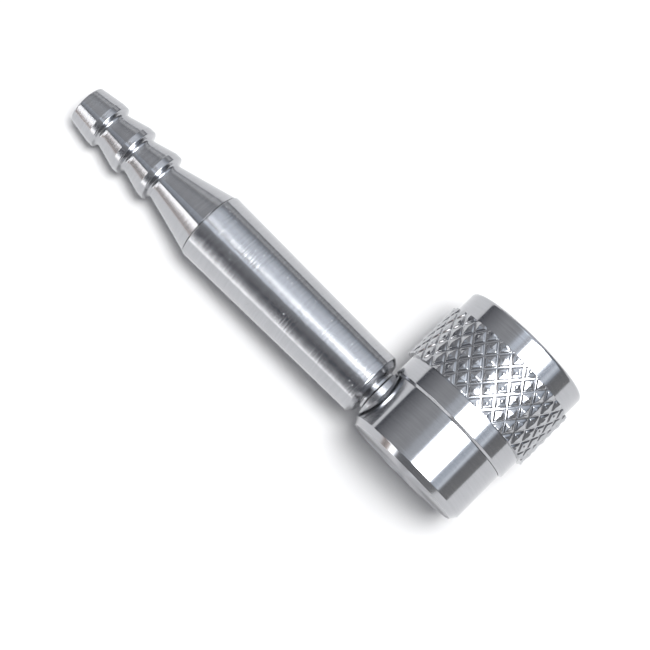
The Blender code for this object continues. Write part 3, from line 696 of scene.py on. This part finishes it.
cap.data.materials.append(head_side_steel)
cap.data.materials.append(faced_steel)
for face in cap.data.polygons:
    if face.center.y > (CAP_TOP - FACED_DEPTH) * MM and face.normal.y > FACED_NORMAL:
        face.material_index = 1
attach(cap, "cap")
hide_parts("knurled_cap")


# Neck O-ring: a thin ring of the same black rubber, slipped over the screwed neck and squeezed between the
# boss and the stem's collar. It moves out with the stem.
NECK_RING_BORE = 1.6
NECK_RING_RADIUS = 2.35
NECK_RING_START = 7.76
NECK_RING_END = 7.86
NECK_RING_ROUND = 0.04
seal("neck_o_ring_moulded", "neck_o_ring", "neck_ring", STEM_AXIS, NECK_RING_BORE, NECK_RING_RADIUS,
     NECK_RING_START, NECK_RING_END, NECK_RING_ROUND, rubber, "black_rubber")


# Stem barrel: a slightly tapered tube of the same steel. Its screwed neck goes into the head, behind a
# small collar, and its bore holds the non-return valve.
NECK_START = 4.03
COLLAR_START = 7.88
COLLAR_END = 8.33
BARREL_START = 8.5
BARREL_END = 33.85
NECK_COLLAR_RADIUS = 2.5
NECK_GROOVE_RADIUS = 2.15
NECK_BORE_RADIUS = 0.8
BARREL_HEAD_RADIUS = 3.88
BARREL_TAIL_RADIUS = 4.27
END_CHAMFER = 0.55
CHAMBER_START = 16.55
CHAMBER_RADIUS = 2.5
SOCKET_START = 27.55
SOCKET_RADIUS = 3.05
barrel_steel = turned_steel("turned_stainless_barrel", "X", mark_mm=0.18, mark_um=28.0, roughness=0.18,
                            stretch=0.93, nick_um=30)
neck_rows = [(NECK_THREAD["root"], along) for along in reversed(thread_rows(NECK_THREAD))]
outside = rounded([(SOCKET_RADIUS, BARREL_END, 0), (BARREL_TAIL_RADIUS, BARREL_END, 0.08),
                   (BARREL_HEAD_RADIUS, BARREL_START + END_CHAMFER, 0.15),
                   (BARREL_HEAD_RADIUS - END_CHAMFER, BARREL_START, 0.1),
                   (NECK_GROOVE_RADIUS, BARREL_START, 0.05),
                   (NECK_GROOVE_RADIUS, COLLAR_END, 0.05), (NECK_COLLAR_RADIUS, COLLAR_END, 0.1),
                   (NECK_COLLAR_RADIUS, COLLAR_START, 0.1), (NECK_THREAD["root"], COLLAR_START, 0.1),
                   neck_rows[0] + (0,)])
inside = rounded([neck_rows[-1] + (0,), (NECK_THREAD["root"], NECK_START, 0.15),
                  (NECK_BORE_RADIUS, NECK_START, 0.05), (NECK_BORE_RADIUS, CHAMBER_START, 0.05),
                  (CHAMBER_RADIUS, CHAMBER_START, 0.1), (CHAMBER_RADIUS, SOCKET_START, 0.05),
                  (SOCKET_RADIUS, SOCKET_START, 0.05), (SOCKET_RADIUS, BARREL_END, 0)])
barrel = lathe("stem_barrel_turned", outside + neck_rows[1:-1] + inside[:-1], STEM_AXIS, closed=True,
               reshape=male(NECK_THREAD))
barrel.data.materials.append(barrel_steel)
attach(barrel, "stem")
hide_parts("stem_barrel")


# Hose tail: turned in one piece and pressed into the barrel. A long cone leads to three barbs, each with
# a short round-edged land, a steep back and a filleted root, and a bore runs through to the valve.
CONE_START = 33.95
CONE_START_RADIUS = 4.12
CONE_END = 40.65
CONE_END_RADIUS = 2.37
BARB_PITCH = 4.1
BARB_ROOT_RADIUS = 2.28
BARB_CREST_RADII = (3.07, 3.07, 2.9)
ROOT_LENGTH = 0.55
BACK_LENGTH = 0.3
LAND_LENGTH = 0.75
TIP_CONE_LENGTH = 2.95
TIP_RADIUS = 2.42
TAIL_BORE_RADIUS = 1.45
BORE_CHAMFER = 0.15
SPIGOT_RADIUS = 2.95
SPIGOT_START = 27.65
RING_GROOVE_START = 30.75
RING_GROOVE_END = 31.65
RING_GROOVE_RADIUS = 2.25
SEAT_POCKET_RADIUS = 2.2
SEAT_POCKET_END = 28.95
barb_corners = []
for index, crest in enumerate(BARB_CREST_RADII):
    root = CONE_END + index * BARB_PITCH
    land = root + ROOT_LENGTH + BACK_LENGTH
    if index:
        barb_corners.append((CONE_END_RADIUS, root, 0.3))
    barb_corners += [(BARB_ROOT_RADIUS, root + ROOT_LENGTH, 0.45), (crest, land, 0.14),
                     (crest, land + LAND_LENGTH, 0.14)]
tip = land + LAND_LENGTH + TIP_CONE_LENGTH
corners = [(TAIL_BORE_RADIUS, tip - BORE_CHAMFER, 0), (TAIL_BORE_RADIUS + BORE_CHAMFER, tip, 0.02),
           (TIP_RADIUS, tip, 0.2)]
corners += list(reversed(barb_corners))
corners += [(CONE_END_RADIUS, CONE_END, 0.4), (CONE_START_RADIUS, CONE_START, 0.03),
            (SPIGOT_RADIUS, CONE_START, 0.05), (SPIGOT_RADIUS, RING_GROOVE_END, 0.03),
            (RING_GROOVE_RADIUS, RING_GROOVE_END, 0.05), (RING_GROOVE_RADIUS, RING_GROOVE_START, 0.05),
            (SPIGOT_RADIUS, RING_GROOVE_START, 0.03), (SPIGOT_RADIUS, SPIGOT_START, 0.1),
            (SEAT_POCKET_RADIUS, SPIGOT_START, 0.03), (SEAT_POCKET_RADIUS, SEAT_POCKET_END, 0.03),
            (TAIL_BORE_RADIUS, SEAT_POCKET_END, 0.03), (TAIL_BORE_RADIUS, tip - BORE_CHAMFER, 0)]
tail_steel = turned_steel("turned_stainless_tail", "X", mark_mm=0.2, mark_um=9.0, roughness=0.17, stretch=0.9)
tail = lathe("barb_tail_turned", rounded(corners)[:-1], STEM_AXIS, closed=True)
tail.data.materials.append(tail_steel)
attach(tail, "stem")
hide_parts("barb_tail")


# Valve and tail seal: hidden in the barrel. A rubber seat and a plastic poppet keep water out of the gas
# line, and an O-ring seals the pressed tail.
for node in ("tail_o_ring", "valve_seat"):
    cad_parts[node].data.materials.clear()
    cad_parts[node].data.materials.append(rubber)
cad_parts["valve_poppet"].data.materials.clear()
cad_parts["valve_poppet"].data.materials.append(ptfe)


# Valve spring: wound from drawn steel wire, with closed end turns. It stands on the chamber's floor
# and presses the poppet on its seat. The real spring shortens as the poppet lifts; this one keeps one length.
SPRING_COIL_RADIUS = 1.7
SPRING_WIRE_RADIUS = 0.2
SPRING_START = 16.85
SPRING_LENGTH = 9.5
SPRING_TURNS = 7
END_TURN_RISE = 0.42
STEPS_PER_TURN = 36
WIRE_SIDES = 12


def wound_wire(name):
    """Sweeps a round wire along a coil whose first and last turns lie closed."""
    open_rise = (SPRING_LENGTH - 2 * END_TURN_RISE) / (SPRING_TURNS - 2)
    centre, along_way, zero_way = STEM_AXIS
    side_way = along_way.cross(zero_way)
    spokes = [2 * math.pi * i / WIRE_SIDES for i in range(WIRE_SIDES)]
    work = bmesh.new()
    loops = []
    for step in range(SPRING_TURNS * STEPS_PER_TURN + 1):
        turns = step / STEPS_PER_TURN
        angle = 2 * math.pi * turns
        open_turns = min(max(turns - 1, 0), SPRING_TURNS - 2)
        along = SPRING_START + END_TURN_RISE * (turns - open_turns) + open_rise * open_turns
        out = zero_way * math.cos(angle) + side_way * math.sin(angle)
        middle = centre + along_way * along + out * SPRING_COIL_RADIUS
        rim = [middle + (out * math.cos(a) + along_way * math.sin(a)) * SPRING_WIRE_RADIUS for a in spokes]
        loops.append([work.verts.new(spot) for spot in rim])
    for first, second in zip(loops, loops[1:]):
        for i in range(WIRE_SIDES):
            after = (i + 1) % WIRE_SIDES
            work.faces.new([first[i], first[after], second[after], second[i]])
    work.faces.new(loops[0])
    work.faces.new(loops[-1])
    bmesh.ops.recalc_face_normals(work, faces=work.faces)
    return finish_mesh(name, work)


spring = wound_wire("valve_spring_wound")
spring_wire = turned_steel("drawn_spring_wire", "X", mark_mm=0.3, mark_um=0.5, roughness=0.25, stretch=0.5)
spring.data.materials.append(spring_wire)
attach(spring, "stem")
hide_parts("valve_spring")
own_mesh(spring)
